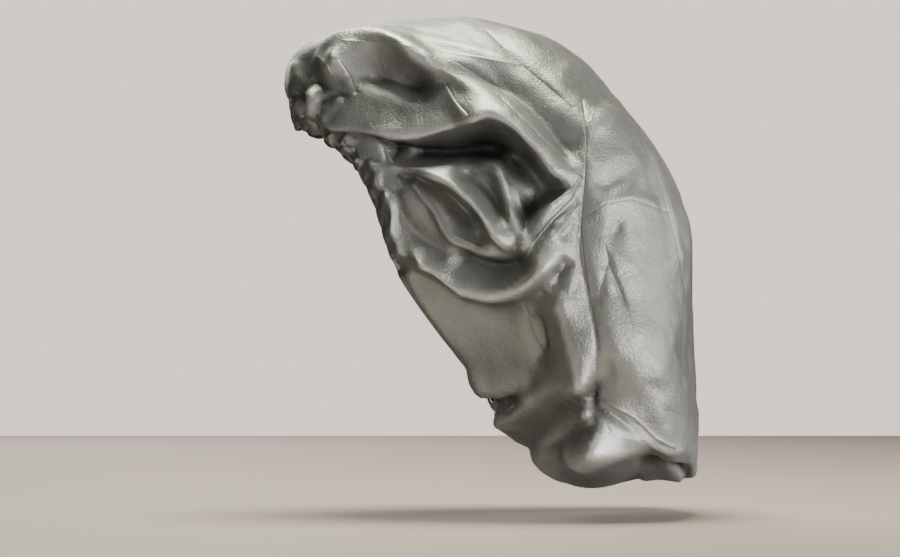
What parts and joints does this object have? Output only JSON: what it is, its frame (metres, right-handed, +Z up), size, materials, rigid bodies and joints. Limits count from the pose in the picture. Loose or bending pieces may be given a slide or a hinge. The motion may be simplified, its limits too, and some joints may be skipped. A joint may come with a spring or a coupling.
{
  "type": "satin sleep bonnet",
  "caption": "Soft satin sleep bonnet in its worn form: a full hanging bag with deep folds, gathered into a wide elastic casing round the face and nape.",
  "frame": {"origin": "point on the inside of the crown that rests on the top of the head, on the middle plane", "axes": "+Z up, -Y the way the wearer faces, +X the wearer's left"},
  "size_m": [0.2278, 0.2933, 0.3262],
  "materials": {
    "satin": "glossy sage-grey satin",
    "casing_satin": "glossy sage-grey satin, gathered over elastic"
  },
  "bodies": {
    "root": {"crown": "satin", "elastic_casing": "casing_satin"}
  },
  "joints": []
}
